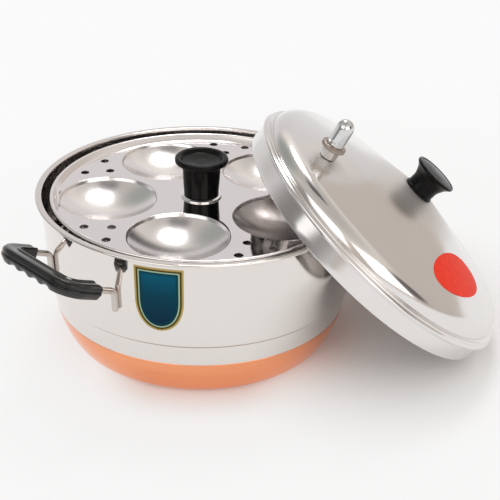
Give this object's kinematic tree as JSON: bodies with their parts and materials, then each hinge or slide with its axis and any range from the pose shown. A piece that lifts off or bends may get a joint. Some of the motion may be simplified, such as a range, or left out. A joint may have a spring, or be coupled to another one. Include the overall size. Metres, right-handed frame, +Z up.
{
  "type": "idli steamer",
  "caption": "Steel steaming pot with a copper-clad base and side handles, a lift-out rack of idli plates on a centre rod, and a conical whistle lid leaning on its rim.",
  "frame": {"origin": "where the pot's vertical axis meets the surface that its flat base stands on", "axes": "+Z up along the pot's axis; +X towards the side where the lid leans; -Y towards the side that carries the shield label"},
  "size_m": [0.3865, 0.2761, 0.1978],
  "materials": {
    "steel": "mirror-polished stainless steel",
    "copper": "polished copper",
    "black_plastic": "moulded, glossy",
    "brass_insert": "plain",
    "whistle_chrome": "polished",
    "seal_rubber": "matt",
    "red_label": "plain glossy foil",
    "teal_label": "plain glossy foil with a gold edge"
  },
  "bodies": {
    "pot": {"pot_shell": "steel", "copper_base": "copper", "handle_wire_left": "steel", "handle_wire_right": "steel", "handle_grip_left": "black_plastic", "handle_grip_right": "black_plastic", "pot_label": "teal_label"},
    "rack": {"rack_foot": "steel", "rack_rod": "steel", "rack_spacer_lower": "steel", "rack_spacer_upper": "steel", "rack_washer": "steel"},
    "lower_plate": {"idli_plate_lower": "steel"},
    "upper_plate": {"idli_plate_upper": "steel"},
    "rack_handle": {"rack_knob": "black_plastic", "rack_knob_insert": "brass_insert"},
    "lid": {"lid_shell": "steel", "lid_label": "red_label", "lid_knob": "black_plastic", "lid_knob_insert": "brass_insert", "lid_knob_screw": "steel", "lid_knob_washer": "steel", "vent_stem": "whistle_chrome", "vent_seal": "seal_rubber", "vent_washer": "steel", "vent_nut": "steel"},
    "whistle": {"whistle_weight": "whistle_chrome", "whistle_dome": "whistle_chrome"}
  },
  "joints": [
    {"name": "rack_lift", "type": "slide", "parent": "pot", "child": "rack", "axis": [0, 0, 1], "range_m": [0, 0.15]},
    {"name": "lower_plate_turn", "type": "hinge", "parent": "rack", "child": "lower_plate", "pos_m": [0, 0, 0.0722], "axis": [0, 0, 1], "continuous": true},
    {"name": "upper_plate_turn", "type": "hinge", "parent": "rack", "child": "upper_plate", "pos_m": [0, 0, 0.1182], "axis": [0, 0, 1], "continuous": true},
    {"name": "rack_knob_turn", "type": "hinge", "parent": "rack", "child": "rack_handle", "pos_m": [0, 0, 0.13], "axis": [0, 0, 1], "continuous": true},
    {"name": "lid_lift", "type": "slide", "parent": "rack", "child": "lid", "axis": [0, 0, 1], "range_m": [0, 0.25]},
    {"name": "whistle_lift", "type": "slide", "parent": "lid", "child": "whistle", "axis": [0.4442, -0.0772, 0.8926], "range_m": [0, 0.016]}
  ]
}
